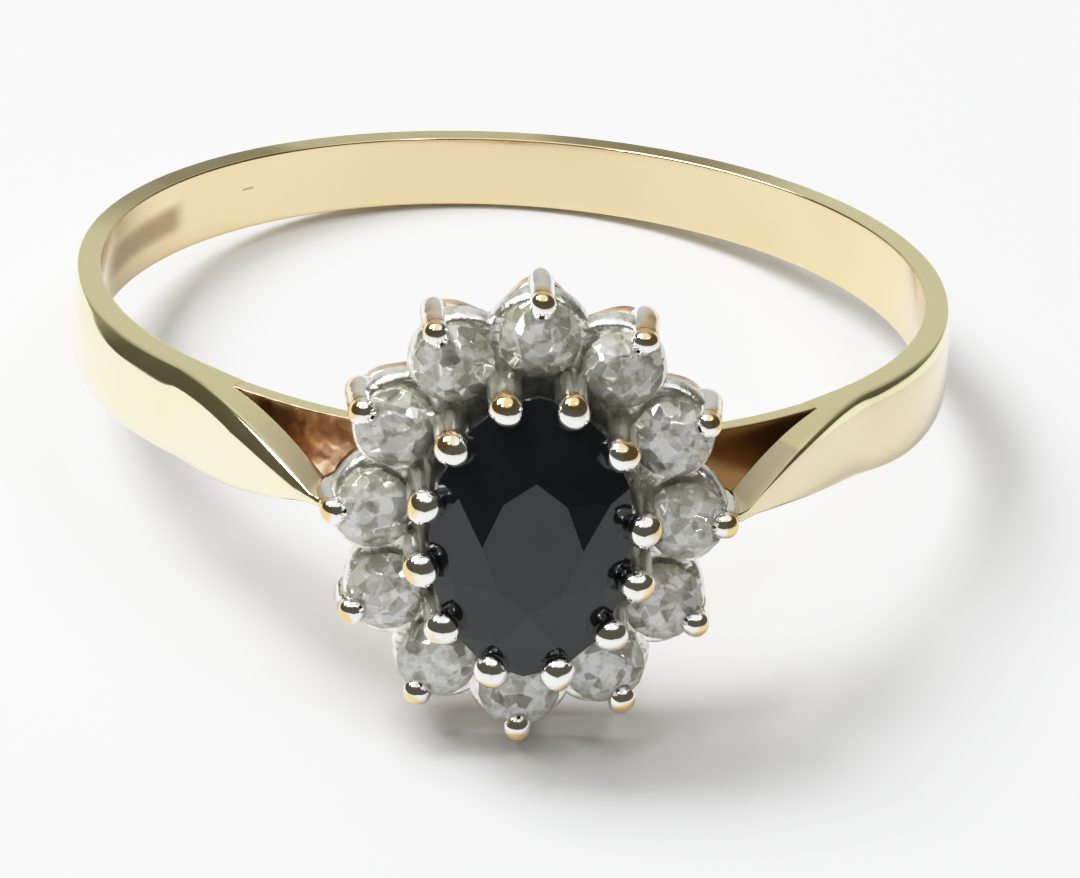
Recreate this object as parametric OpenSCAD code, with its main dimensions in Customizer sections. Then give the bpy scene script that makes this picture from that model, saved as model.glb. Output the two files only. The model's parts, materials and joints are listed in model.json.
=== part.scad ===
// Cluster ring: an oval centre stone within twelve small round stones, on a shank with forked shoulders.
// It lies on its side as it does by itself, on the lowest outer claw and the back of the shank.
// Millimetres, +Z up.

/* [Finger hole] */
// Radius of the finger hole
bore_r = 8.65; // [7.6:0.05:9.6]

/* [Shank] */
// Width of the shank at the back of the finger
back_width = 1.55; // [1.2:0.05:2]
// Width that the shank grows to at its shoulders
shoulder_width = 2.05; // [1.8:0.05:2.4]
// Thickness of the shank at its two side edges, round the back
edge_thickness = 0.5; // [0.45:0.05:0.7]
// Thickness of those edges at the shoulders
shoulder_thickness = 0.6; // [0.55:0.05:0.7]
// Height of the rounded outer face above the edges, at the back
back_crown = 0.05; // [0.02:0.01:0.1]
// The same at the left shoulder, whose upper part is filed to a flat
left_crown = 0.3; // [0.1:0.05:0.35]
// The same at the right shoulder
right_crown = 0.1; // [0.05:0.05:0.35]

/* [Shoulders] */
// Angle from the head at which a shoulder starts to rise off the circle
rise_start = 50; // [46:1:54]
// Angle from the head at which a shoulder ends in a point
rise_end = 22; // [21:1:24]
// Height that a shoulder rises above the circle on the way
rise_height = 2.1; // [1.9:0.05:2.3]
// Angle from the head at which a shoulder forks
fork_angle = 41; // [39:1:44]
// Thickness of the inner arm, which follows the finger under the head
inner_arm_thickness = 0.4; // [0.3:0.05:0.5]
// Width of the inner arm
inner_arm_width = 1.86; // [1.6:0.02:1.9]
// Curve of the lower edge of the left outer arm as it tapers: 1 is straight
left_taper = 2.1; // [1.4:0.1:2.8]
// The same for the right outer arm, which is filed away earlier
right_taper = 1.5; // [1.2:0.1:2.8]
// Angle from the head at which the right outer arm's lower edge starts to taper
right_taper_start = 62; // [56:1:66]
// Distance from the middle of the ring to an outer arm's inner face at its tip
fork_tip_x = 3.65; // [3.6:0.05:3.75]

/* [Centre stone] */
// Length of the oval centre stone, along the finger
centre_length = 6; // [5.6:0.05:6.2]
// Width of the oval centre stone
centre_width = 4.1; // [3.8:0.05:4.2]
// Height of its girdle above the middle of the finger hole
centre_level = 11.85; // [11.7:0.05:12]

/* [Small stones] */
// Number of small stones, outer claws and inner claws
stone_count = 12; // [12:1:12]
// Diameter of a small stone
small_diameter = 1.65; // [1.5:0.01:1.7]
// Height of their girdles above the middle of the finger hole
small_level = 10.75; // [10.65:0.05:10.85]
// Space left between a stone and its setting
stone_gap = 0.04; // [0.03:0.01:0.06]

/* [Claws] */
// Radius of an outer claw
outer_claw_r = 0.29; // [0.26:0.01:0.31]
// Radius of an inner claw
inner_claw_r = 0.35; // [0.3:0.01:0.36]
// Radius of the bead that tops an inner claw
inner_bead_r = 0.4; // [0.38:0.01:0.41]

/* [Setting] */
// Height of the collet's top face above the middle of the finger hole
collet_top = 10.6; // [10.5:0.05:10.65]
// Depth of the collet
collet_depth = 0.5; // [0.45:0.05:0.6]
// Height of the base gallery's top face above the middle of the finger hole
gallery_top = 9.5; // [9.4:0.05:9.55]
// Depth of the lobed rail along the top of the base gallery
gallery_rail_depth = 0.4; // [0.3:0.05:0.45]
// Wall of the base gallery below its rail
gallery_wall = 0.55; // [0.5:0.05:0.7]

/* [Hidden] */
$fn = 64;
full_turn = 360;
overlap = 0.2;

// Half sizes of the ovals on which things stand, across the finger and along it
small_oval = [3.12, 3.78];
outer_claw_oval = [4.02, 4.68];
inner_claw_oval = [2.23, 2.93];
collet_valley_oval = [3.5, 4.2];
collet_tip_oval = [4.02, 4.68];
collet_hole_oval = [1.65, 2.4];
gallery_oval = [3.3, 3.84];
// Height of each lobe of the gallery's rail above its oval, and how far the wall stands back from that oval
gallery_lobe = 0.6;
gallery_inset = 0.45;
// Shape of the lobes of the rail and of the collet: 0.5 is nearly round, 2 a soft wave
gallery_power = 1.4;
petal_power = 0.8;
points_per_lobe = 8;
// Space between the finger hole and the underside of the setting
finger_clearance = 0.2;
outer_tip_level = 10.97;
outer_tip_lean = 0.97;
outer_elbow_level = 9.85;
outer_bead_r = outer_claw_r + 0.03;
inner_bead_level = 12.2;
// Where the inner claws stand, counted in small stones from the top. Two on the right were set low.
inner_claw_places = [
    for (i = [0:stone_count - 1]) i + (i == 2 ? 0.75 : i == 3 ? 0.63 : 0.5)
];
// The hole under each small stone
seat_hole_r = 0.3;

// A round brilliant's proportions, each as a share of its diameter
table_share = 0.55;
crown_share = 0.15;
girdle_share = 0.03;
pavilion_share = 0.42;
star_share = 0.8;
lower_share = 0.3;
// The centre stone's table, as a share of its half sizes at a top corner and at the next three, clockwise
centre_table = [0.47, 0.44, 0.49, 0.44];
// Each small stone is set turned by this angle from the one before it
stone_turn = 37;

// The shank's section turns about the finger: its inside radius before the bore is cut, and its stations
sweep_inner_r = bore_r - 0.3;
back_step = 7.5;
rise_step = 2.5;
point_width = 0.2;
shoulder_start = 92;
shoulder_full = 60;
upper_taper = 2.8;
crown_shares = [1, 0.62, 0.2, -0.2, -0.62, -1];

// Points on an oval, clockwise from the top seen from the front, by angle or spaced evenly along its edge
function on_oval(oval, angle) = [oval[0] * sin(angle), oval[1] * cos(angle)];
function edge_lengths(oval, step = 3) = [
    for (a = 0, len = 0; a <= full_turn;
         len = len + norm(on_oval(oval, a + step) - on_oval(oval, a)), a = a + step)
        [len, a]
];
function oval_angle(oval, share) =
    let (table = edge_lengths(oval))
    lookup(share * table[len(table) - 1][0], table);
function spaced(oval, place) = on_oval(oval, oval_angle(oval, place / stone_count));
// 1 at each outer claw and 0 midway between two
function lobe_share(place, power) = pow(abs(cos(180 * place)), power);

// Half-width of the shank at an angle from the head: it grows towards the head, then tapers along a
// shoulder. The upper and the lower edge each have a taper of their own.
function rise_share(angle, start = rise_start) = max(0, (start - abs(angle)) / (start - rise_end));
function grown_half_width(angle) =
    (shoulder_width + back_width - (back_width - shoulder_width) * cos(angle)) / 4;
function shank_upper_width(angle) =
    max(point_width / 2, grown_half_width(angle) * (1 - pow(rise_share(angle), upper_taper)));
function shank_lower_width(angle) =
    let (start = angle < 0 ? rise_start : right_taper_start, taper = angle < 0 ? left_taper : right_taper)
    max(point_width / 2, grown_half_width(angle) * (1 - pow(rise_share(angle, start), taper)));

// 0 round the back and 1 at the shoulders, smooth between them
function shoulder_share(angle) =
    let (t = max(0, min(1, (shoulder_start - abs(angle)) / (shoulder_start - shoulder_full))))
    t * t * (3 - 2 * t);
function shank_edge_r(angle) =
    bore_r + edge_thickness + (shoulder_thickness - edge_thickness) * shoulder_share(angle)
        + rise_height * pow(min(1, rise_share(angle)), 1.5);
function shank_crown(angle) =
    back_crown + ((angle < 0 ? left_crown : right_crown) - back_crown) * shoulder_share(angle);
function shank_section(angle) =
    let (upper = shank_upper_width(angle), lower = shank_lower_width(angle))
    let (edge = shank_edge_r(angle), crown = shank_crown(angle) * min(1, 2 * lower / back_width))
    concat(
        [[sweep_inner_r, upper]],
        [for (s = crown_shares) [edge + crown * (1 - pow(s, 4)), s * (s > 0 ? upper : lower)]],
        [[sweep_inner_r, -lower]]
    );
shank_angles = concat(
    [for (a = [0:rise_step:rise_start]) a],
    [for (a = [rise_start + back_step:back_step:full_turn - rise_start - back_step]) a],
    [for (a = [full_turn - rise_start:rise_step:full_turn - rise_step]) a]
);
function from_head(angle) = angle > full_turn / 2 ? angle - full_turn : angle;

// A closed loop of equal sections, as a polyhedron
module loop_of_sections(sections) {
    count = len(sections);
    sides = len(sections[0]);
    polyhedron(
        points = [for (s = sections) each s],
        faces = [
            for (i = [0:count - 1], j = [0:sides - 1])
                let (next = (i + 1) % count, after = (j + 1) % sides)
                [i * sides + j, next * sides + j, next * sides + after, i * sides + after]
        ]
    );
}

module shank_outside() {
    loop_of_sections([
        for (a = shank_angles)
            [for (p = shank_section(from_head(a))) [p[0] * sin(a), -p[0] * cos(a), p[1]]]
    ]);
}

// The open space between the inner arm and the two outer arms, from one shoulder to the other
module fork_space() {
    inner_arm_r = bore_r + inner_arm_thickness;
    root = [inner_arm_r * sin(fork_angle), -inner_arm_r * cos(fork_angle)];
    tip = [fork_tip_x, collet_depth - collet_top];
    // Past its tip an arm stands clear of the small stone beside it
    beside_stone = [small_oval[0] + small_diameter / 2 + 2 * stone_gap, 0.1 - small_level];
    right_side = [root, tip, beside_stone, [beside_stone[0], -bore_r - 4]];
    difference() {
        linear_extrude(height = 2 * shoulder_width, center = true)
            polygon(concat(
                right_side,
                [for (i = [len(right_side) - 1:-1:0]) [-right_side[i][0], right_side[i][1]]],
                [[-root[0], -bore_r / 2], [root[0], -bore_r / 2]]
            ));
        cylinder(r = inner_arm_r, h = 3 * shoulder_width, center = true);
    }
}

module inner_arm() {
    intersection() {
        cylinder(r = bore_r + inner_arm_thickness, h = inner_arm_width, center = true);
        translate([0, -bore_r, 0])
            cube([2 * bore_r * sin(fork_angle + 4), bore_r, inner_arm_width + overlap], center = true);
    }
}

module shank() {
    difference() {
        union() {
            difference() {
                shank_outside();
                fork_space();
            }
            inner_arm();
        }
        cylinder(r = bore_r, h = 4 * shoulder_width, center = true, $fn = 128);
    }
}

// The setting is drawn looking at the head: x across the finger, y along it, z out from the finger
module collet() {
    difference() {
        translate([0, 0, collet_top - collet_depth])
            linear_extrude(height = collet_depth)
                difference() {
                    polygon([
                        for (i = [0:stone_count * points_per_lobe - 1])
                            let (place = i / points_per_lobe, petal = lobe_share(place, petal_power))
                            spaced(collet_valley_oval, place) * (1 - petal)
                                + spaced(collet_tip_oval, place) * petal
                    ]);
                    polygon([for (a = [0:10:full_turn - 10]) on_oval(collet_hole_oval, a)]);
                }
        centre_seat();
        for (i = [0:stone_count - 1]) {
            small_seat(i);
            translate(concat(spaced(small_oval, i), small_level - 2 * collet_depth))
                cylinder(r = seat_hole_r, h = 2 * collet_depth);
        }
    }
}

module gallery() {
    low = bore_r - overlap;
    wall_oval = gallery_oval * (1 - gallery_inset / gallery_oval[0]);
    inside_oval = wall_oval * (1 - gallery_wall / gallery_oval[0]);
    difference() {
        union() {
            translate([0, 0, low])
                linear_extrude(height = gallery_top - gallery_rail_depth / 2 - low)
                    polygon([for (a = [0:10:full_turn - 10]) on_oval(wall_oval, a)]);
            translate([0, 0, gallery_top - gallery_rail_depth])
                linear_extrude(height = gallery_rail_depth)
                    polygon([
                        for (i = [0:stone_count * points_per_lobe - 1])
                            let (place = i / points_per_lobe, lobe = lobe_share(place, gallery_power))
                            spaced(gallery_oval, place) * (1 + gallery_lobe / gallery_oval[0] * lobe)
                    ]);
        }
        translate([0, 0, low - overlap])
            linear_extrude(height = gallery_top)
                polygon([for (a = [0:10:full_turn - 10]) on_oval(inside_oval, a)]);
        rotate([90, 0, 0])
            cylinder(r = bore_r + finger_clearance, h = 4 * gallery_oval[1], center = true);
    }
}

// A round bar from one point to another
module bar(start, end, radius) {
    way = end - start;
    translate(start)
        rotate([0, acos(way[2] / norm(way)), atan2(way[1], way[0])])
            cylinder(r = radius, h = norm(way), $fn = 24);
}

module outer_claw(place) {
    foot_share = 1 + (gallery_lobe - outer_claw_r) / gallery_oval[0];
    foot = concat(spaced(gallery_oval, place) * foot_share, gallery_top - gallery_rail_depth / 2);
    elbow = concat(spaced(outer_claw_oval, place), outer_elbow_level);
    tip = concat(spaced(outer_claw_oval, place) * outer_tip_lean, outer_tip_level);
    difference() {
        union() {
            bar(foot, elbow, outer_claw_r);
            translate(elbow) sphere(r = outer_bead_r, $fn = 24);
            bar(elbow, tip, outer_claw_r);
            translate(tip) sphere(r = outer_bead_r, $fn = 24);
        }
        small_seat(place);
    }
}

module inner_claw(place) {
    foot = concat(spaced(inner_claw_oval, place), collet_top - collet_depth / 2);
    tip = concat(spaced(inner_claw_oval, place), inner_bead_level);
    difference() {
        union() {
            bar(foot, tip, inner_claw_r);
            translate(tip) sphere(r = inner_bead_r, $fn = 24);
        }
        centre_seat();
        small_seat(floor(place));
        small_seat(ceil(place));
    }
}

// The room for a small stone: the stone's own outline, grown by the gap
module small_seat(place) {
    r = small_diameter / 2 + stone_gap;
    table_r = r * table_share;
    crown = small_diameter * crown_share + stone_gap;
    depth = small_diameter * pavilion_share;
    translate(concat(spaced(small_oval, place), small_level))
        rotate_extrude($fn = 32)
            polygon([
                [0, -depth - stone_gap],
                [r, -stone_gap],
                [r, small_diameter * girdle_share + stone_gap],
                [table_r, small_diameter * girdle_share + crown],
                [0, small_diameter * girdle_share + crown]
            ]);
}

// The room for the centre stone: rings of an oval, one above another, closed at both ends
module centre_seat() {
    half = [centre_width / 2 + stone_gap, centre_length / 2 + stone_gap];
    crown = centre_width * crown_share + stone_gap;
    girdle = centre_width * girdle_share;
    pavilion = centre_width * pavilion_share;
    rings = [
        [0.05, -pavilion - stone_gap],
        [1, -stone_gap],
        [1, girdle + stone_gap],
        [max(centre_table), girdle + crown]
    ];
    sides = 36;
    polyhedron(
        points = [
            for (ring = rings, k = [0:sides - 1])
                concat(on_oval(half * ring[0], k * full_turn / sides), centre_level + ring[1])
        ],
        faces = concat(
            [[for (k = [sides - 1:-1:0]) k]],
            [
                for (i = [0:len(rings) - 2], k = [0:sides - 1])
                    let (next = (k + 1) % sides)
                    [i * sides + k, i * sides + next, (i + 1) * sides + next, (i + 1) * sides + k]
            ],
            [[for (k = [0:sides - 1]) (len(rings) - 1) * sides + k]]
        )
    );
}

module setting() {
    gallery();
    collet();
    for (i = [0:stone_count - 1]) outer_claw(i);
    for (place = inner_claw_places) inner_claw(place);
}

// Turns what is drawn looking at the head onto the front of the ring
module at_head() {
    rotate([90, 0, 0]) children();
}

// A brilliant cut with its girdle's underside at height 0. half is its half sizes across and along, width
// the size that its heights are shares of, and table the shares of its table's first four corners.
module brilliant(half, width, table) {
    mains = 8;
    turn = full_turn / mains;
    girdle = width * girdle_share;
    crown = width * crown_share;
    depth = width * pavilion_share;
    table_most = max(table);
    star_z = girdle + crown * (1 - (star_share * cos(turn / 2) - table_most) / (1 - table_most));
    lower_z = -depth * (1 - lower_share * cos(turn / 2));
    function around(share, angle, z) = [half[0] * share * sin(angle), half[1] * share * cos(angle), z];
    points = concat(
        [for (i = [0:mains - 1]) around(table[i % len(table)], i * turn, girdle + crown)],
        [for (i = [0:mains - 1]) around(star_share, (i + 0.5) * turn, star_z)],
        [for (i = [0:2 * mains - 1]) around(1, i * turn / 2, girdle)],
        [for (i = [0:2 * mains - 1]) around(1, i * turn / 2, 0)],
        [for (i = [0:mains - 1]) around(lower_share, (i + 0.5) * turn, lower_z)],
        [[0, 0, -depth]]
    );
    star = mains;
    upper = 2 * mains;
    lower = 4 * mains;
    pavilion = 6 * mains;
    culet = 7 * mains;
    faces = concat(
        [[for (i = [0:mains - 1]) i]],
        [
            for (i = [0:mains - 1])
                let (next = (i + 1) % mains, last = (i + mains - 1) % mains)
                let (even = 2 * i, odd = 2 * i + 1, then = (2 * i + 2) % (2 * mains))
                each [
                    [i, star + i, next],
                    [i, star + last, upper + even, star + i],
                    [star + i, upper + even, upper + odd],
                    [star + i, upper + odd, upper + then],
                    [upper + even, lower + even, lower + odd, upper + odd],
                    [upper + odd, lower + odd, lower + then, upper + then],
                    [lower + even, pavilion + i, lower + odd],
                    [lower + odd, pavilion + i, lower + then],
                    [lower + even, pavilion + last, culet, pavilion + i]
                ]
        ]
    );
    polyhedron(points = points, faces = faces);
}

// Lays the upright ring down: it leans until the lowest claw and the shank's back edge both touch z = 0
lowest_claw = [-outer_elbow_level, -outer_claw_oval[1]];
back_edge = [bore_r + edge_thickness, -shank_lower_width(full_turn / 2)];
reach = back_edge - lowest_claw;
function leaned(p) = [p[0] * cos(lean) + p[1] * sin(lean), p[1] * cos(lean) - p[0] * sin(lean)];
lean = atan2(reach[1], reach[0]) + asin(outer_bead_r / norm(reach));
lift = -leaned(back_edge)[1];
// The lying ring's furthest points to the front and to the back, and its middle
front_y = min([
    for (place = inner_claw_places)
        leaned([-inner_bead_level, spaced(inner_claw_oval, place)[1]])[0]
]) - inner_bead_r;
back_y = max([
    for (p = shank_section(full_turn / 2))
        leaned([p[0], p[1]])[0]
]);
middle_y = (front_y + back_y) / 2;
module lying() {
    translate([0, -middle_y, lift]) rotate([-lean, 0, 0]) children();
}

module shank_and_setting() {
    color("goldenrod")
        lying() {
            union() {
                shank();
                at_head() setting();
            }
        }
}

module centre_stone() {
    color("midnightblue")
        lying() at_head()
            translate([0, 0, centre_level])
                brilliant([centre_width / 2, centre_length / 2], centre_width, centre_table);
}

module diamond(number) {
    color("gainsboro")
        lying() at_head()
            translate(concat(spaced(small_oval, number - 1), small_level))
                rotate([0, 0, stone_turn * number])
                    brilliant([small_diameter / 2, small_diameter / 2], small_diameter, [table_share]);
}

shank_and_setting();
centre_stone();
for (i = [1:stone_count])
    diamond(i);
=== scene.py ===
import json
import math

import bpy
import numpy as np
from mathutils import Matrix, Vector


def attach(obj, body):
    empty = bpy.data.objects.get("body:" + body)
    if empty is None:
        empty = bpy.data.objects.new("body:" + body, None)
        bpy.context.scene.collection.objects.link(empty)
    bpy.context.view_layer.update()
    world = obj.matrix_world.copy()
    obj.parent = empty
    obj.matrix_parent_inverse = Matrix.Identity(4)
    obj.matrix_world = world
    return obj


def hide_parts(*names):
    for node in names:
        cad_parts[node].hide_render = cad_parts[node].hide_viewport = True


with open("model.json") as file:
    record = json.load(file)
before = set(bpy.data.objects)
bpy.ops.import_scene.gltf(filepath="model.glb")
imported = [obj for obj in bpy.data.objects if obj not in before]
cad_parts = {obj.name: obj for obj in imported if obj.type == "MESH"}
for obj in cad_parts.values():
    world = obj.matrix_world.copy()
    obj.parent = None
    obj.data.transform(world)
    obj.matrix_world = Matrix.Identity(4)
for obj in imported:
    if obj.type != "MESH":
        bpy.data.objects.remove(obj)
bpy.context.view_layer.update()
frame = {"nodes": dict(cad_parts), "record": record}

# Camera. It looks down on the lying ring from in front of the head, a little from the left. Its angles are
# taken about the finger hole, whose middle and axis the record's bore mount gives.
MM = 0.001
view_lift = 22.08
view_turn = -3.45
view_roll = 3.49
view_distance = 200
view_aim = (0.766, -2.52)
focal_length = 317.2

finger_hole = frame["record"]["mounts"][0]
hole_centre = Vector(finger_hole["pos_m"])
across = Vector((1, 0, 0))
along_finger = Vector(finger_hole["axis"]).normalized()
to_back = along_finger.cross(across)
ring_axes = np.array([across, to_back, along_finger])


def ring_to_row(points):
    """Points in mm about the finger hole, with the head towards -Y, as points of the row in metres."""
    return np.array(hole_centre) + np.asarray(points, float) @ ring_axes * MM


lift, turn, roll = (math.radians(v) for v in (view_lift, view_turn, view_roll))
view_back = Vector((math.sin(turn) * math.cos(lift), -math.cos(turn) * math.cos(lift), math.sin(lift)))
level_right = Vector((0, 0, 1)).cross(view_back).normalized()
level_up = view_back.cross(level_right)
view_right = math.cos(roll) * level_right + math.sin(roll) * level_up
view_up = -math.sin(roll) * level_right + math.cos(roll) * level_up
aim = level_right * view_aim[0] + level_up * view_aim[1]
camera = bpy.data.objects.new("camera", bpy.data.cameras.new("camera"))
camera.data.lens = focal_length
camera.data.clip_start = 0.02
camera.data.clip_end = 10
turned = Matrix(ring_axes.T) @ Matrix((view_right, view_up, view_back)).transposed()
camera.matrix_world = Matrix.Translation(ring_to_row(aim + view_back * view_distance)) @ turned.to_4x4()
bpy.context.scene.collection.objects.link(camera)
bpy.context.scene.camera = camera

# Shank. One half-round strip of yellow gold, bent round and filed. It widens towards the shoulders, where it
# is sawn into a rising outer arm and a thin inner arm. The outer arms taper to points soldered to the head.
bore_r = finger_hole["dims"]["r_mm"]
back_width = 1.55
shoulder_width = 2.05
edge_thickness = 0.49
shoulder_thickness = 0.6
back_crown = 0.05
left_crown = 0.3
right_crown = 0.1
shoulder_start = 92
shoulder_full = 60
rise_start = 50
rise_end = 22
rise_height = 2.1
rise_power = 1.5
fork_angle = 41
arm_end = 20.9
point_width = 0.2
fork_tip = (3.65, 10.1)
fork_step = 0.01
inner_arm_thickness = 0.4
upper_taper = 2.8
left_taper = 2.1
right_taper = 1.5
right_taper_start = 62
# The upper edge of the outer face is filed to a flat on the left shoulder and worn round on the right one
flat_start = 84
flat_full = 60
left_flat = 0.24
right_flat = 0.3
least_flat = 0.06
corner_r = 0.08
right_corner_r = 0.15
bore_corner_r = 0.05
# Two shades stand together where the metal varies between them
outer_gold = (0.88, 0.76, 0.48, 1), (0.92, 0.8, 0.54, 1)
# Painted shade: the right shoulder's outer face, darker than the rest
right_outer_painted_shade = (0.74, 0.635, 0.42, 1)
bore_gold = (0.78, 0.61, 0.36, 1), (0.83, 0.67, 0.43, 1)
# Painted light: the right side of the bore, lighter than the rest
right_bore_painted_light = (0.84, 0.71, 0.48, 1)
edge_gold = (0.92, 0.84, 0.5, 1)
# Painted dark reflection on the upper edge round the back
painted_dark_reflection_gold = (0.32, 0.26, 0.1, 1)
worn_gold = (0.24, 0.16, 0.07, 1)


class Socket:
    """A socket among nodes. Sums, products and powers of sockets add their Math nodes."""

    def __init__(self, nodes, link):
        self.nodes = nodes
        self.link = link

    def math(self, operation, *values):
        return self.nodes.node("ShaderNodeMath", {"operation": operation}, dict(enumerate(values)))

    def __add__(self, other):
        return self.math("ADD", self, other)

    def __sub__(self, other):
        return self.math("SUBTRACT", self, other)

    def __mul__(self, other):
        return self.math("MULTIPLY", self, other)

    def __pow__(self, other):
        return self.math("POWER", self, other)

    def __rsub__(self, other):
        return self.math("SUBTRACT", other, self)

    __radd__ = __add__
    __rmul__ = __mul__


class Nodes:
    """The nodes that make up a surface, or the light of the room."""

    def __init__(self, tree):
        self.tree = tree

    def fill(self, made, inputs):
        """Links a node's inputs to sockets, or sets them to values."""
        for name, value in dict(inputs).items():
            if isinstance(value, Socket):
                self.tree.links.new(value.link, made.inputs[name])
            else:
                made.inputs[name].default_value = value

    def node(self, kind, settings=(), inputs=(), output=0):
        """Adds a node, sets it up, fills its inputs, and gives one of its outputs."""
        made = self.tree.nodes.new(kind)
        for name, value in dict(settings).items():
            setattr(made, name, value)
        self.fill(made, inputs)
        return Socket(self, made.outputs[output])

    def place(self):
        """Where a point is on the object, in metres."""
        return self.node("ShaderNodeTexCoord", output="Object")

    def track(self):
        """The three numbers in mm that a piece keeps for each of its points."""
        return self.node("ShaderNodeAttribute", {"attribute_name": "track"}, output="Vector")

    def grain(self, place, scale, detail=2.0, roughness=0.5):
        return self.node("ShaderNodeTexNoise", {}, {
            "Vector": place, "Scale": scale, "Detail": detail, "Roughness": roughness
        })

    def stretched(self, place, scale):
        return self.node("ShaderNodeVectorMath", {"operation": "MULTIPLY"}, {0: place, 1: scale})

    def part(self, place, axis):
        return self.node("ShaderNodeSeparateXYZ", {}, {"Vector": place}, output=axis)

    def step(self, value, low, high):
        """0 below low, 1 above high, and smooth between them."""
        return self.node("ShaderNodeMapRange", {"interpolation_type": "SMOOTHSTEP"}, {
            "Value": value, "From Min": low, "From Max": high
        })

    def between(self, value, rise, fall):
        """1 on the stretch from the end of rise to the start of fall, and 0 before and after them."""
        return self.step(value, *rise) - self.step(value, *fall)

    def blend(self, share, first, second):
        """The first colour where share is 0 and the second where it is 1."""
        return self.node("ShaderNodeMix", {"data_type": "RGBA"}, {
            "Factor": share, 6: first, 7: second
        }, output=2)

    def bump(self, height, depth):
        """Height from 0 to 1 as relief of that depth in metres."""
        return self.node("ShaderNodeBump", {}, {"Height": height, "Distance": depth, "Strength": 1.0})


class Finish(Nodes):
    """A metal's or a stone's surface: one material with one shader."""

    def __init__(self, name, **constants):
        self.material = bpy.data.materials.new(name)
        self.material.use_nodes = True
        super().__init__(self.material.node_tree)
        self.feed(**constants)

    def feed(self, **values):
        """Fills the shader's sockets, with _ for a space in their names, and gives the material."""
        named = {socket.replace("_", " "): value for socket, value in values.items()}
        self.fill(self.tree.nodes["Principled BSDF"], named)
        return self.material


def new_piece(name, points, faces, track=None, crease=40):
    """A mesh piece of the ring from row points in metres, riding on the ring's one body."""
    mesh = bpy.data.meshes.new(name)
    mesh.from_pydata([tuple(p) for p in points], [], [tuple(f) for f in faces])
    if track is not None:
        mesh.attributes.new("track", "FLOAT_VECTOR", "POINT").data.foreach_set("vector", np.ravel(track))
    mesh.shade_smooth()
    mesh.set_sharp_from_angle(angle=math.radians(crease))
    piece = bpy.data.objects.new(name, mesh)
    bpy.context.scene.collection.objects.link(piece)
    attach(piece, "root")
    return piece


def strip_faces(rows, sides, closed):
    """Faces between rows of points that each go once round a section. Open strips get a face at each end."""
    faces = []
    for i in range(rows if closed else rows - 1):
        row, next_row = i * sides, (i + 1) % rows * sides
        for j in range(sides):
            beside = (j + 1) % sides
            faces.append((row + j, row + beside, next_row + beside, next_row + j))
    if not closed:
        faces.append(tuple(range(sides - 1, -1, -1)))
        faces.append(tuple((rows - 1) * sides + j for j in range(sides)))
    return faces


def rise_share(angle, start=rise_start):
    """0 where a shoulder starts to rise or taper, and 1 where it is done."""
    return max(0.0, (start - abs(angle)) / (start - rise_end))


def grown_half_width(angle):
    cosine = math.cos(math.radians(angle))
    return (shoulder_width + back_width - (back_width - shoulder_width) * cosine) / 4


def shank_upper_width(angle):
    return max(point_width / 2, grown_half_width(angle) * (1 - rise_share(angle) ** upper_taper))


def shank_lower_width(angle):
    if angle < 0:
        tapered = rise_share(angle) ** left_taper
    else:
        tapered = rise_share(angle, right_taper_start) ** right_taper
    return max(point_width / 2, grown_half_width(angle) * (1 - tapered))


def shoulder_share(angle):
    """0 round the back and 1 at the shoulders, smooth between them."""
    t = min(1.0, max(0.0, (shoulder_start - abs(angle)) / (shoulder_start - shoulder_full)))
    return t * t * (3 - 2 * t)


def shank_edge_r(angle):
    grown = (shoulder_thickness - edge_thickness) * shoulder_share(angle)
    return bore_r + edge_thickness + grown + rise_height * min(1.0, rise_share(angle)) ** rise_power


def shank_crown(angle):
    full = left_crown if angle < 0 else right_crown
    crown = back_crown + (full - back_crown) * shoulder_share(angle)
    return crown * min(1.0, 2 * shank_lower_width(angle) / back_width)


def fork_r(angle):
    """How far out the inside of an outer arm is, on the line from the fork to the arm's tip."""
    sine, cosine = math.sin(math.radians(abs(angle))), math.cos(math.radians(angle))
    root = (bore_r + inner_arm_thickness) * np.array([
        math.sin(math.radians(fork_angle)), math.cos(math.radians(fork_angle))
    ])
    way = np.array(fork_tip) - root
    t = (cosine * root[0] - sine * root[1]) / (sine * way[1] - cosine * way[0])
    return float(np.linalg.norm(root + way * t))


def rounded_corner(corner, before, after, radius, steps=6):
    """Points that round a corner of a section, between its neighbours' directions."""
    corner, before, after = (np.array(p, float) for p in (corner, before, after))
    to_before = (before - corner) / np.linalg.norm(before - corner)
    to_after = (after - corner) / np.linalg.norm(after - corner)
    start, end = corner + to_before * radius, corner + to_after * radius
    return [
        (1 - t) ** 2 * start + 2 * t * (1 - t) * corner + t ** 2 * end
        for t in np.linspace(0, 1, steps)
    ]


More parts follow.
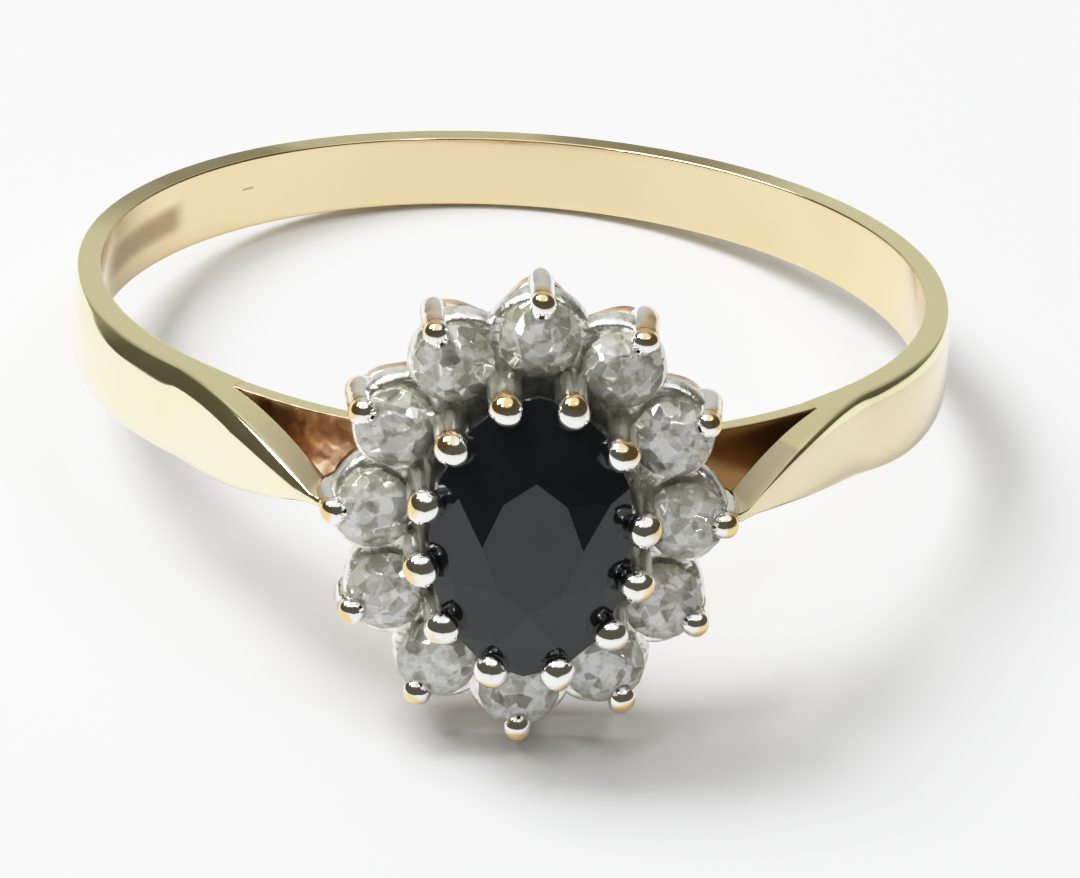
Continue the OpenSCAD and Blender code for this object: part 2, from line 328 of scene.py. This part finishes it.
def band_section(inner_r, edge_r, upper, lower, crown, flat, upper_r=corner_r):
    """Points once round the strip's section, as distance out from the finger's axis and place along it."""
    # The most that a corner may be rounded, so that the roundings of one side never meet
    small = 0.3 * min(lower, edge_r - inner_r)
    inner_round, outer_round = min(bore_corner_r, small), min(corner_r, 0.38 * flat, small)
    flat_end = 1 - flat / upper

    def face(share):
        """The outer face, from 1 at the upper edge to -1 at the lower one."""
        if share > flat_end:
            height = crown * (1 - flat_end ** 4) * (1 - share) / (1 - flat_end)
        else:
            height = crown * (1 - share ** 4)
        return np.array([edge_r + height, share * (upper if share > 0 else lower)])

    def at(height, side):
        return np.array([inner_r + (edge_r - inner_r) * height, side])

    points = rounded_corner(at(0, -lower), at(1, -lower), at(0, upper), inner_round)
    points += [np.array([inner_r, s * (upper if s > 0 else lower)]) for s in (-0.8, -0.4, 0, 0.4, 0.8)]
    points += rounded_corner(at(0, upper), at(0, -lower), at(1, upper), inner_round)
    points += [at(0.35, upper), at(0.65, upper)]
    points += rounded_corner(face(1), at(0, upper), face(flat_end), min(upper_r, 0.5 * flat, small))
    points += [face(1 - (1 - flat_end) * s) for s in (0.52, 0.6)]
    points += rounded_corner(face(flat_end), face(1), face(flat_end - 0.1), outer_round)
    points += [face(flat_end - (flat_end + 1) * s) for s in (0.12, 0.25, 0.4, 0.55, 0.7, 0.82, 0.9)]
    points += rounded_corner(face(-1), face(-0.93), at(0, -lower), outer_round)
    points += [at(0.65, -lower), at(0.35, -lower)]
    return np.array(points)


def swept(angles, sections):
    """Row points and tracks of sections swung round the finger, one at each angle from the head."""
    points, track = [], []
    for angle, section in zip(angles, sections):
        a = math.radians(angle)
        out, across_strip = section[:, 0], section[:, 1]
        points.append(np.stack([out * math.sin(a), -out * math.cos(a), across_strip], -1))
        track.append(np.stack([np.full(len(out), a * bore_r), across_strip, out - bore_r], -1))
    return ring_to_row(np.concatenate(points)), np.concatenate(track)


# Angles from the head, anticlockwise seen from above: 0 is the head, -90 the left side and 90 the right
arm_angles = np.linspace(arm_end, fork_angle - fork_step, 40)
band_angles = np.concatenate([
    np.linspace(fork_angle + fork_step, rise_start, 14)[:-1],
    np.linspace(rise_start, 360 - rise_start, 200)[:-1],
    np.linspace(360 - rise_start, 360 - fork_angle - fork_step, 14),
])
shank_angles = np.concatenate([arm_angles, band_angles, 360 - arm_angles[::-1]])
from_head = np.where(shank_angles > 180, shank_angles - 360, shank_angles)


def filed_share(angle):
    """1 on the shoulders and 0 round the back."""
    return min(1.0, max(0.0, (flat_start - abs(angle)) / (flat_start - flat_full)))


def filed_flat(angle):
    """Width of the flat along the upper edge."""
    full = left_flat if angle < 0 else right_flat
    return min(least_flat + (full - least_flat) * filed_share(angle), 0.85 * shank_upper_width(angle))


def upper_corner_r(angle):
    if angle < 0:
        return corner_r
    return corner_r + (right_corner_r - corner_r) * filed_share(angle)


shank_sections = [
    band_section(
        fork_r(a) if abs(a) < fork_angle else bore_r, shank_edge_r(a),
        shank_upper_width(a), shank_lower_width(a), shank_crown(a), filed_flat(a), upper_corner_r(a),
    )
    for a in from_head
]
shank_points, shank_track = swept(shank_angles, shank_sections)
shank_faces = strip_faces(len(shank_angles), len(shank_sections[0]), False)
shank = new_piece("shank", shank_points, shank_faces, shank_track)
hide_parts("shank_and_setting")

gold = Finish("polished yellow gold", Metallic=1.0)
gold_track = gold.track()
gold_round = gold.part(gold_track, "X")
gold_across = gold.part(gold_track, "Y")
gold_out = gold.part(gold_track, "Z")
gold_tint = gold.grain(gold.place(), 210.0, 3.0)
# On the right shoulder the outer face is painted darker, as painted shade, and the bore lighter, as painted
# light
right_painted_shade_and_light = 1 - gold.step(gold_round, 12, 17)
gold_outer = gold.blend(gold.step(gold_tint, 0.35, 0.65), *outer_gold)
gold_outer = gold.blend(right_painted_shade_and_light, gold_outer, right_outer_painted_shade)
gold_bore = gold.blend(gold.step(gold_tint, 0.3, 0.7), *bore_gold)
gold_bore = gold.blend(right_painted_shade_and_light, gold_bore, right_bore_painted_light)
gold_faces = gold.blend(gold.step(gold_out, 0.005, 0.04), gold_bore, gold_outer)
# Round the back the upper edge is painted darker and browner, a painted dark reflection, but for a lighter
# spell in the middle
painted_reflection_span = gold.between(gold_round, (19.3, 22.9), (36.5, 39.6))
reflection_bright_spell = gold.between(gold_round, (25.7, 26.7), (31.5, 32.5))
reflection_streak = gold.step(gold.grain(gold.stretched(gold_track, (0.35, 0.5, 0.5)), 1.0), 0.3, 0.7)
edge_painted_reflection = painted_reflection_span * (1 - reflection_bright_spell * 0.6) * (0.7 + reflection_streak * 0.3)
gold_edge = gold.blend(edge_painted_reflection, edge_gold, painted_dark_reflection_gold)
on_edge = gold.step(gold_across, back_width / 2 - 0.06, back_width / 2 - 0.02)
on_edge = on_edge * gold.step(gold_out, 0.01, 0.06)
# Inside the band on the left, a patch is worn dull, and there is one nick
patch_half_width = 0.433
nick_round = 33.1
nick_across = 0.12
patch_smudge = 0.75 + gold.grain(gold.stretched(gold_track, (0.9, 0.9, 1.0)), 1.0) * 0.4
patch_wear = gold.between(gold_round, (34.9, 35.6), (38.0, 39.4)) * patch_smudge
patch_wear = patch_wear * (1 - gold.step(gold_across * gold_across, 0.0, patch_half_width ** 2))
nick = 1 - gold.step((gold_round - nick_round) ** 2, 0.015, 0.035)
nick = nick * (1 - gold.step((gold_across - nick_across) ** 2, 0.0002, 0.0012))
marks = (patch_wear * 0.75 + nick * 0.6) * (1 - gold.step(gold_out, 0.0, 0.01))
gold_hairline = gold.grain(gold.stretched(gold_track, (1.5, 70.0, 45.0)), 1.0, 3.0, 0.6)
gold_dent = gold.grain(gold.place(), 700.0)
gold_smear = gold.grain(gold.place(), 420.0, 4.0, 0.6)
shank.data.materials.append(gold.feed(
    Base_Color=gold.blend(marks, gold.blend(on_edge, gold_faces, gold_edge), worn_gold),
    Roughness=0.1 + gold.step(gold_smear, 0.4, 0.75) * 0.1 + marks * 0.2,
    Normal=gold.bump(gold_hairline * 0.25 + gold_dent * 0.75, 1.6e-6),
))

# Inner arms. The strip's thin inner half carries on round the finger under the head. Its outer face is left
# as it was cast and never polished, since the saw and the file don't reach it.
inner_arm_width = 1.86
inner_overlap = 3
inner_sink = 0.03
inner_taper_start = 24
inner_clearance = 0.002
# Copper of the left fork's outer face, partly the cast gold and partly painted reflection with painted
# highlights; the dark brown on the right is painted shade
cast_pink_and_reflection = (0.5, 0.29, 0.15, 1), (1.0, 0.76, 0.54, 1)
cast_painted_shade = (0.3, 0.165, 0.06, 1)
left_inner_bore = (0.8, 0.64, 0.4, 1)

inner_angles = np.linspace(-fork_angle - inner_overlap, fork_angle + inner_overlap, 90)


def inner_arm_half(angle, shank_half_width):
    """Half-width of the inner arm above or below its middle, which meets the shank's own at each fork."""
    share = min(1.0, max(0.0, abs(angle) - inner_taper_start) / (fork_angle - inner_taper_start))
    share = share * share * (3 - 2 * share)
    at_fork = shank_half_width(math.copysign(fork_angle, angle)) - inner_clearance
    return inner_arm_width / 2 * (1 - share) + at_fork * share


inner_sections = [
    band_section(
        bore_r + (inner_sink if abs(a) > fork_angle + 0.2 else 0), bore_r + inner_arm_thickness,
        inner_arm_half(a, shank_upper_width), inner_arm_half(a, shank_lower_width), 0.0, least_flat,
    )
    for a in inner_angles
]
inner_points, inner_track = swept(inner_angles, inner_sections)
inner_faces = strip_faces(len(inner_angles), len(inner_sections[0]), False)
inner_arm = new_piece("inner_arm", inner_points, inner_faces, inner_track)
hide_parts("shank_and_setting")

cast_gold = Finish("cast gold under the head", Metallic=1.0)
cast_track = cast_gold.track()
cast_out = cast_gold.part(cast_track, "Z")
cast_outer = cast_gold.step(cast_out, inner_arm_thickness - 0.06, inner_arm_thickness)
# On the right the outer face is painted dark brown as shade, and the bore painted lighter as painted light
cast_right_shade_and_light = cast_gold.step(cast_gold.part(cast_track, "X"), -0.5, 0.5)
cast_lump = cast_gold.grain(cast_gold.place(), 1500.0, 2.5, 0.55)
# On the left the copper lumps are partly the cast gold's tone and partly a painted copper reflection of the
# gold round it, with painted highlights
cast_left = cast_gold.blend(cast_gold.step(cast_lump, 0.35, 0.65), *cast_pink_and_reflection)
cast_colour = cast_gold.blend(cast_right_shade_and_light, cast_left, cast_painted_shade)
cast_bore = cast_gold.blend(cast_right_shade_and_light, left_inner_bore, right_bore_painted_light)
cast_filed = cast_gold.blend(cast_gold.step(cast_out, 0.005, 0.04), cast_bore, edge_gold)
inner_arm.data.materials.append(cast_gold.feed(
    Base_Color=cast_gold.blend(cast_outer, cast_filed, cast_colour),
    Roughness=0.12 + cast_outer * 0.2,
    Normal=cast_gold.bump(cast_lump * cast_outer * (1.05 - cast_right_shade_and_light), 80e-6),
))

# Base gallery. An oval wall of yellow gold stands on the inner arms, cut back underneath so that it clears
# the finger. Along its top runs a rail with twelve lobes, one under each outer claw, all cast in one.
stone_count = 12
gallery_oval = (3.3, 3.84)
gallery_inset = 0.45
gallery_wall = 0.55
gallery_top = 9.5
gallery_rail_depth = 0.4
gallery_lobe = 0.6
gallery_lobe_power = 1.4
gallery_clearance = 0.2
gallery_round = 0.1
gallery_crease = 50
gallery_pink = (0.55, 0.33, 0.18, 1), (0.88, 0.68, 0.52, 1)


def head_to_row(points):
    """Points in mm across, along the finger, and out from the finger's axis, as points of the row."""
    points = np.asarray(points, float)
    return ring_to_row(np.stack([points[..., 0], -points[..., 2], points[..., 1]], -1))


def on_oval(oval, angle):
    """A point of an oval, at an angle in radians from the top, clockwise seen from the front."""
    return np.stack([oval[0] * np.sin(angle), oval[1] * np.cos(angle)], -1)


def spaced(oval, place):
    """A point of an oval, whose edge is shared out equally to the small stones, clockwise from the top."""
    angles = np.linspace(0, 2 * math.pi, 1441)
    lengths = np.linalg.norm(np.diff(on_oval(oval, angles), axis=0), axis=1)
    edge = np.concatenate([[0], np.cumsum(lengths)])
    share = np.asarray(place, float) / stone_count
    turns = np.floor(share)
    return on_oval(oval, np.interp((share - turns) * edge[-1], edge, angles))


gallery_steps = 240
gallery_places = np.arange(gallery_steps) * stone_count / gallery_steps
gallery_rail_low = gallery_top - gallery_rail_depth
gallery_foot_r = bore_r + gallery_clearance
gallery_rows = []
for place in gallery_places:
    on_wall = spaced(gallery_oval, place)
    lobe = gallery_lobe * abs(math.cos(math.pi * place)) ** gallery_lobe_power
    crest = on_wall * (1 + lobe / gallery_oval[0])
    outer = on_wall * (1 - gallery_inset / gallery_oval[0])
    inner = outer * (1 - gallery_wall / gallery_oval[0])
    low_outer, low_inner = (math.sqrt(gallery_foot_r ** 2 - flat[0] ** 2) for flat in (outer, inner))
    gallery_rows.append([
        [*outer, low_outer],
        [*outer, (low_outer + gallery_rail_low) / 2],
        [*outer, gallery_rail_low],
        [*crest, gallery_rail_low],
        [*crest, gallery_top],
        [*inner, gallery_top],
        [*inner, low_inner],
    ])
gallery_points = head_to_row(np.concatenate(gallery_rows))
gallery_faces = strip_faces(gallery_steps, len(gallery_rows[0]), True)
base_gallery = new_piece("base_gallery", gallery_points, gallery_faces, crease=gallery_crease)
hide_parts("shank_and_setting")
softened = base_gallery.modifiers.new("softened edges", "BEVEL")
softened.width = gallery_round * MM
softened.segments = 4
softened.limit_method = "ANGLE"
softened.angle_limit = math.radians(gallery_crease)

gallery_gold = Finish("gallery gold", Metallic=1.0)
gallery_lump = gallery_gold.grain(gallery_gold.place(), 1500.0, 3.0)
base_gallery.data.materials.append(gallery_gold.feed(
    Base_Color=gallery_gold.blend(gallery_gold.step(gallery_lump, 0.4, 0.6), *gallery_pink),
    Roughness=0.2 + gallery_lump * 0.2,
    Normal=gallery_gold.bump(gallery_lump, 30e-6),
))

# Collet. A plate of white-plated gold that carries the small stones. Its edge is scalloped, with a point at
# each outer claw and a dip between them, and it is drilled and cut to a seat under each stone.
collet_top = 10.6
collet_depth = 0.5
petal_power = 0.8
collet_valley = (3.5, 4.2)
collet_tip = (4.02, 4.68)
collet_hole = (1.65, 2.4)
collet_dip = 0.08
collet_round = 0.16
small_oval = (3.12, 3.78)
small_diameter = 1.65
small_level = 10.75
seat_hole_r = 0.3
seat_gap = 0.04
seat_crease = 35
girdle_share = 0.03
pavilion_share = 0.42
white_plating = (0.74, 0.73, 0.66, 1), (0.93, 0.93, 0.9, 1)
copper_plating = (0.45, 0.25, 0.13, 1), (0.85, 0.6, 0.42, 1)

collet_steps = 192
collet_places = np.arange(collet_steps) * stone_count / collet_steps
collet_rows = []
for place in collet_places:
    petal = abs(math.cos(math.pi * place)) ** petal_power
    outer = spaced(collet_valley, place) * (1 - petal) + spaced(collet_tip, place) * petal
    inner = spaced(collet_hole, place)
    dip = collet_dip * (1 - petal)
    row = []
    # Up the rounded edge, in over the top to the hole, and back out underneath
    for rounding in (0, 0.3, 0.6, 0.85, 1):
        flat = outer * (1 - collet_round * rounding / np.linalg.norm(outer))
        below_top = dip + collet_round * (1 - math.sqrt(1 - (1 - rounding) ** 2))
        row.append([*flat, collet_top - below_top])
    for share in (0.2, 0.4, 0.6, 0.8, 1):
        flat = outer * (1 - share) + inner * share
        row.append([*flat, collet_top - dip * max(0.0, 1 - share / 0.4)])
    for share in (1, 0.5, 0):
        flat = outer * (1 - share) + inner * share
        row.append([*flat, collet_top - collet_depth])
    collet_rows.append(row)
collet_points = np.concatenate(collet_rows)
collet_faces = strip_faces(collet_steps, len(collet_rows[0]), True)
collet = new_piece("collet", head_to_row(collet_points), collet_faces, collet_points)
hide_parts("shank_and_setting")


def lathe(centre, profile, sides):
    """Head points and faces of a profile of radius and height turned about a line out from the finger."""
    angles = np.arange(sides) * 2 * math.pi / sides
    points = [
        [centre[0] + r * math.sin(a), centre[1] + r * math.cos(a), h] for r, h in profile for a in angles
    ]
    return points, strip_faces(len(profile), sides, False)


def cut(piece, points, faces):
    """Cuts a closed shape, given in the head's frame, out of a piece."""
    tool_mesh = bpy.data.meshes.new("cutter")
    tool_mesh.from_pydata([tuple(p) for p in head_to_row(points)], [], faces)
    tool = bpy.data.objects.new("cutter", tool_mesh)
    bpy.context.scene.collection.objects.link(tool)
    cutter = piece.modifiers.new("cut", "BOOLEAN")
    cutter.object = tool
    cutter.solver = "EXACT"
    evaluated = piece.evaluated_get(bpy.context.evaluated_depsgraph_get())
    cut_mesh = bpy.data.meshes.new_from_object(evaluated)
    piece.modifiers.remove(cutter)
    piece.data = cut_mesh
    bpy.data.objects.remove(tool)


seat_r = small_diameter / 2 + seat_gap
seat_profile = [
    (0.01, small_level - small_diameter * pavilion_share - seat_gap),
    (seat_r, small_level - seat_gap),
    (seat_r, small_level + small_diameter * girdle_share + seat_gap),
    (seat_r, small_level + 1),
]
hole_profile = [(seat_hole_r, collet_top - collet_depth - 0.3), (seat_hole_r, collet_top)]
for stone in range(stone_count):
    stone_centre = spaced(small_oval, stone)
    cut(collet, *lathe(stone_centre, hole_profile, 24))
    cut(collet, *lathe(stone_centre, seat_profile, 40))
collet.data.set_sharp_from_angle(angle=math.radians(seat_crease))

white_gold = Finish("white plating", Metallic=1.0)
plate_grain = white_gold.grain(white_gold.place(), 3800.0, 3.0, 0.6)
plate_light = white_gold.blend(white_gold.step(plate_grain, 0.4, 0.6), *white_plating)
# The plating is thin on the collet's edge, where the gold's copper shows
plate_patch = white_gold.grain(white_gold.place(), 900.0)
plate_track = white_gold.track()
plate_x = white_gold.part(plate_track, "X") * (1 / collet_valley[0])
plate_y = white_gold.part(plate_track, "Y") * (1 / collet_valley[1])
plate_level = white_gold.part(plate_track, "Z")
plate_thin = white_gold.step(plate_x ** 2 + plate_y ** 2, 0.93, 1.0)
plate_thin = plate_thin * (1 - white_gold.step(plate_level, collet_top - 0.34, collet_top - 0.22))
plate_thin = plate_thin * white_gold.step(plate_patch, 0.4, 0.55)
collet.data.materials.append(white_gold.feed(
    Base_Color=white_gold.blend(plate_thin, plate_light, white_gold.blend(plate_patch, *copper_plating)),
    Roughness=0.2 + plate_grain * 0.2,
    Normal=white_gold.bump(plate_grain, 40e-6),
))

# Outer claws. Twelve round wires of yellow gold, plated white, rise from the base gallery past the collet's
# points and are pressed over the small stones. The plating has worn to yellow on their outward sides.
outer_claw_r = 0.29
outer_bead_r = 0.32
outer_claw_oval = (4.02, 4.68)
outer_elbow_level = 9.85
outer_tip_level = 10.97
outer_tip_lean = 0.97
outer_bend_start = 0.86
outer_bend_end = 0.3
bead_size = (0.94, 1.0)
claw_plating = (0.82, 0.8, 0.76, 1), (0.93, 0.93, 0.92, 1)
peg_plating = (0.92, 0.91, 0.84, 1)
# Yellow where the plating is worn, and on the inner beads also a painted warm reflection
worn_plating_and_warm_reflection = (0.74, 0.48, 0.2, 1), (0.9, 0.72, 0.44, 1)
# The claws are filed by hand, so no two are quite alike
hand = np.random.default_rng(7)


def wire(path, radii, inner, sides=20):
    """Head points, faces and tracks of a round wire along a path, with a radius at each of its points.

    A track holds how far its point faces outward, from -1 to 1, its level, and 1 on an inner claw.
    """
    path = np.asarray(path, float)
    way = np.gradient(path, axis=0)
    way /= np.linalg.norm(way, axis=1)[:, None]
    points, track = [], []
    # No wire is quite round
    flat_side, flat_corner = hand.uniform(0, 2 * math.pi, 2)
    side = np.cross(way[0], (0.3, 0.9, 0.1))
    outward = path[0] * (1, 1, 0)
    outward /= np.linalg.norm(outward)
    for at, direction, radius in zip(path, way, radii):
        side = side - direction * (side @ direction)
        side /= np.linalg.norm(side)
        other = np.cross(direction, side)
        for k in range(sides):
            a = 2 * math.pi * k / sides
            spoke = side * math.cos(a) + other * math.sin(a)
            uneven = 1 - 0.04 * (1 + math.cos(2 * a + flat_side))
            uneven -= 0.025 * (1 + math.cos(3 * a + flat_corner))
            points.append(at + radius * uneven * spoke)
            facing = spoke @ outward * min(1.0, radius / max(radii) * 1.6)
            track.append((facing, at[2], inner))
    return points, [f[::-1] for f in strip_faces(len(path), sides, False)], track


def domed(start, end, wire_r, bead_r, bead_share=0.75, rings=9):
    """Path points and radii of a wire's straight end, which swells into a rounded bead."""
    start, end = np.asarray(start, float), np.asarray(end, float)
    way = (end - start) / np.linalg.norm(end - start)
    path = [start + (end - start) * t for t in np.linspace(0, 1, 6)[:-1]]
    radii = [wire_r] * len(path)
    for angle in np.linspace(-40, 88, rings):
        a = math.radians(angle)
        path.append(end + way * bead_r * math.sin(a) * (bead_share if angle > 0 else 1))
        radii.append(max(wire_r if angle < 0 else 0.0, bead_r * math.cos(a)))
    return path, radii


def join_wires(name, wires):
    """One piece from several wires."""
    points, faces, track = [], [], []
    for wire_points, wire_faces, wire_track in wires:
        faces += [tuple(v + len(points) for v in face) for face in wire_faces]
        points += list(wire_points)
        track += wire_track
    return new_piece(name, head_to_row(points), faces, track, crease=60)


outer_wires = []
foot_share = 1 + (gallery_lobe - outer_claw_r) / gallery_oval[0]
foot_level = gallery_top - gallery_rail_depth / 2
for claw in range(stone_count):
    foot = np.append(spaced(gallery_oval, claw) * foot_share, foot_level)
    elbow = np.append(spaced(outer_claw_oval, claw), outer_elbow_level)
    tip = np.append(spaced(outer_claw_oval, claw) * outer_tip_lean, outer_tip_level)
    leg = [foot + (elbow - foot) * t for t in np.linspace(0, outer_bend_start, 8)]
    bend_start, bend_end = leg[-1], elbow + (tip - elbow) * outer_bend_end
    bend = [
        (1 - t) ** 2 * bend_start + 2 * t * (1 - t) * elbow + t ** 2 * bend_end
        for t in np.linspace(0, 1, 8)[1:]
    ]
    end_path, end_radii = domed(bend_end, tip, outer_claw_r, outer_bead_r * hand.uniform(*bead_size))
    path = leg + bend + end_path[1:]
    radii = [outer_claw_r] * (len(leg) + len(bend)) + end_radii[1:]
    outer_wires.append(wire(path, radii, 0.0))
outer_claws = join_wires("outer_claws", outer_wires)
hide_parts("shank_and_setting")

claw_metal = Finish("worn white plating on the claws", Metallic=1.0)
claw_file = claw_metal.grain(claw_metal.place(), 1100.0)
claw_patch = claw_metal.grain(claw_metal.place(), 1300.0)
claw_track = claw_metal.track()
claw_facing = claw_metal.part(claw_track, "X")
claw_level = claw_metal.part(claw_track, "Y")
claw_inner = claw_metal.part(claw_track, "Z")
# The pegs below the inner beads are dull and keep their plating, and the outer wires keep most of theirs
claw_peg = (1 - claw_metal.step(claw_level, 11.75, 12.1)) * claw_inner
claw_post = 1 - claw_metal.step(claw_level, 10.45, 10.8)
# Yellow where the plating has worn on the outward sides; on the inner beads these patches are partly a
# painted warm reflection
claw_wear_and_reflection = claw_facing + (claw_patch - 0.5) * 1.6
claw_wear_and_reflection = claw_wear_and_reflection - claw_peg * 0.8 - claw_post * 0.5 - claw_inner * 0.12
claw_white = claw_metal.blend(claw_peg, claw_metal.blend(claw_file, *claw_plating), peg_plating)
claw_yellow_and_reflection = claw_metal.blend(claw_file, *worn_plating_and_warm_reflection)
outer_claws.data.materials.append(claw_metal.feed(
    Base_Color=claw_metal.blend(claw_metal.step(claw_wear_and_reflection, 0.25, 0.8), claw_white, claw_yellow_and_reflection),
    Roughness=0.06 + claw_file * 0.1 + claw_peg * 0.14,
    Normal=claw_metal.bump(claw_file, 55e-6),
))

# Inner claws. Twelve round pegs, soldered into the collet and plated with it, end in beads pressed over the
# centre stone. Two on the right were set a little off their places by hand.
inner_claw_r = 0.37
inner_bead_r = 0.4
inner_claw_oval = (2.23, 2.93)
inner_bead_level = 12.2
inner_bead_depth = (0.7, 0.9)
off_place = {2: 0.75, 3: 0.63}
inner_places = [place + off_place.get(place, 0.5) for place in range(stone_count)]

inner_wires = []
for place in inner_places:
    flat = spaced(inner_claw_oval, place)
    foot = np.append(flat, collet_top - collet_depth / 2)
    tip = np.append(flat, inner_bead_level)
    bead_r = inner_bead_r * hand.uniform(*bead_size)
    path, radii = domed(foot, tip, inner_claw_r, bead_r, hand.uniform(*inner_bead_depth))
    inner_wires.append(wire(path, radii, 1.0))
inner_claws = join_wires("inner_claws", inner_wires)
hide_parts("shank_and_setting")
# Their yellow patches are partly worn plating and partly a painted warm reflection
inner_claws.data.materials.append(claw_metal.material)

# Small stones. Twelve round brilliant-cut diamonds sit in the collet's seats, between an outer and two inner
# claws. They are commercial grade and cloudy, and a darker grey-yellow rim is painted round each as shade.
cloudy = (0.58, 0.58, 0.5, 1), (1.0, 1.0, 0.98, 1)
# Painted shade at the rim of each stone
rim_painted_shade = (0.5, 0.5, 0.33, 1)
flake_lean = 0.55

diamond = Finish("small diamond", IOR=2.42, Transmission_Weight=0.34)
# Light comes back through the facets in many small flakes, each as if from a facet of its own
flake_colour = diamond.node("ShaderNodeTexVoronoi", {"feature": "SMOOTH_F1"}, {
    "Vector": diamond.place(), "Scale": 3600.0, "Smoothness": 0.25
}, output="Color")
flake_tilt = diamond.node("ShaderNodeVectorMath", {"operation": "MULTIPLY_ADD"}, {
    0: flake_colour, 1: (2 * flake_lean,) * 3, 2: (-flake_lean,) * 3
})
flake_normal = diamond.node("ShaderNodeVectorMath", {"operation": "ADD"}, {
    0: diamond.node("ShaderNodeNewGeometry", output="Normal"), 1: flake_tilt
})
# How far a point is from the middle of its own stone, squared, as a share of the stone's width
within_stone = diamond.node("ShaderNodeTexCoord", output="Generated")
stone_x = diamond.part(within_stone, "X") - 0.5
stone_z = diamond.part(within_stone, "Z") - 0.5
# A darker grey-yellow rim painted round each stone as shade
diamond_rim_shade = diamond.step(stone_x ** 2 + stone_z ** 2, 0.1, 0.26) * 0.7
diamond_haze = diamond.grain(diamond.place(), 2600.0, 3.0, 0.6)
diamond_cloud = diamond.blend(diamond.step(diamond_haze, 0.4, 0.56), *cloudy)
diamond.feed(
    Base_Color=diamond.blend(diamond_rim_shade, diamond_cloud, rim_painted_shade),
    Roughness=0.02 + diamond.step(diamond_haze, 0.45, 0.7) * 0.08,
    Normal=diamond.node("ShaderNodeVectorMath", {"operation": "NORMALIZE"}, {0: flake_normal}),
)
for number in range(1, stone_count + 1):
    stone = frame["nodes"][f"diamond_{number}"]
    stone.data.materials.clear()
    stone.data.materials.append(diamond.material)

# Centre stone. An oval, brilliant-cut sapphire, so dark a blue that it looks black. It stands over the hole
# in the collet, held all round by the beads of the inner claws.
dark_blue = (0.002, 0.003, 0.004, 1), (0.008, 0.011, 0.016, 1)

sapphire = Finish("dark sapphire", IOR=1.77, Specular_IOR_Level=0.3)
sapphire_haze = sapphire.grain(sapphire.place(), 1200.0, 4.0, 0.7)
centre_stone = frame["nodes"]["centre_stone"]
centre_stone.data.materials.clear()
centre_stone.data.materials.append(sapphire.feed(
    Base_Color=sapphire.blend(sapphire_haze, *dark_blue),
    Roughness=0.05 + sapphire_haze * 0.06,
))

# Floor. A plain pale table top with a dull finish. The ring lies on it as it comes to rest by itself, on
# its lowest outer claw and the back of the shank.
floor_reach = 1.5
floor_corners = [(x * floor_reach, y * floor_reach, 0) for x, y in ((-1, -1), (1, -1), (1, 1), (-1, 1))]
floor = bpy.data.objects.new("floor", bpy.data.meshes.new("floor"))
floor.data.from_pydata(floor_corners, [], [(0, 1, 2, 3)])
bpy.context.scene.collection.objects.link(floor)
pale = Finish("pale table top", Base_Color=(0.86, 0.87, 0.89, 1), Roughness=0.55, Specular_IOR_Level=0.3)
floor.data.materials.append(pale.material)

# Light. A soft white room, bright overhead, grey behind, and dark in front and at the sides, where its walls
# are. The picture's tones roll off gently towards white.
overhead = (1.15, 1.15, 1.15, 1)
side_walls = (0.1, 0.094, 0.072, 1)
back_walls = (0.3, 0.3, 0.27, 1), (0.6, 0.6, 0.57, 1)
tone_top = 2
tone_curve = (0.25, 0.25), (0.5, 0.52), (0.7, 0.71), (0.9, 0.85), (1.1, 0.93), (1.5, 0.985)

tones = bpy.context.scene.view_settings
tones.view_transform = "Standard"
tones.use_curve_mapping = True
tones.curve_mapping.white_level = (tone_top, tone_top, tone_top)
for light_value, shown in tone_curve:
    tones.curve_mapping.curves[3].points.new(light_value / tone_top, shown)
tones.curve_mapping.update()

room = bpy.data.worlds.new("soft room")
bpy.context.scene.world = room
room.use_nodes = True
sky = Nodes(room.node_tree)
toward = sky.node("ShaderNodeTexCoord")
backward = sky.part(toward, "Y")
upward = sky.part(toward, "Z")
far_wall = sky.blend(sky.step(backward, 0.8, 0.97), *back_walls)
behind = sky.blend(sky.step(upward, 0.3, 0.8), far_wall, overhead)
around = sky.blend(sky.step(upward, 0.74, 0.87), side_walls, overhead)
room_light = sky.blend(sky.step(backward, 0.55, 0.85), around, behind)
sky.fill(room.node_tree.nodes["Background"], {"Color": room_light})


def soft_light(name, place, size, power):
    """A square studio light at a place in mm, facing the ring."""
    light = bpy.data.objects.new(name, bpy.data.lights.new(name, "AREA"))
    light.data.size = size * MM
    light.data.energy = power
    light.location = Vector(place) * MM
    light.rotation_mode = "QUATERNION"
    light.rotation_quaternion = light.location.to_track_quat("Z", "Y")
    bpy.context.scene.collection.objects.link(light)


soft_light("window light", (-150, 50, 230), 150, 0.7)
soft_light("left lamp", (-150, -130, 270), 40, 0.1)
soft_light("right lamp", (120, -110, 290), 40, 0.08)
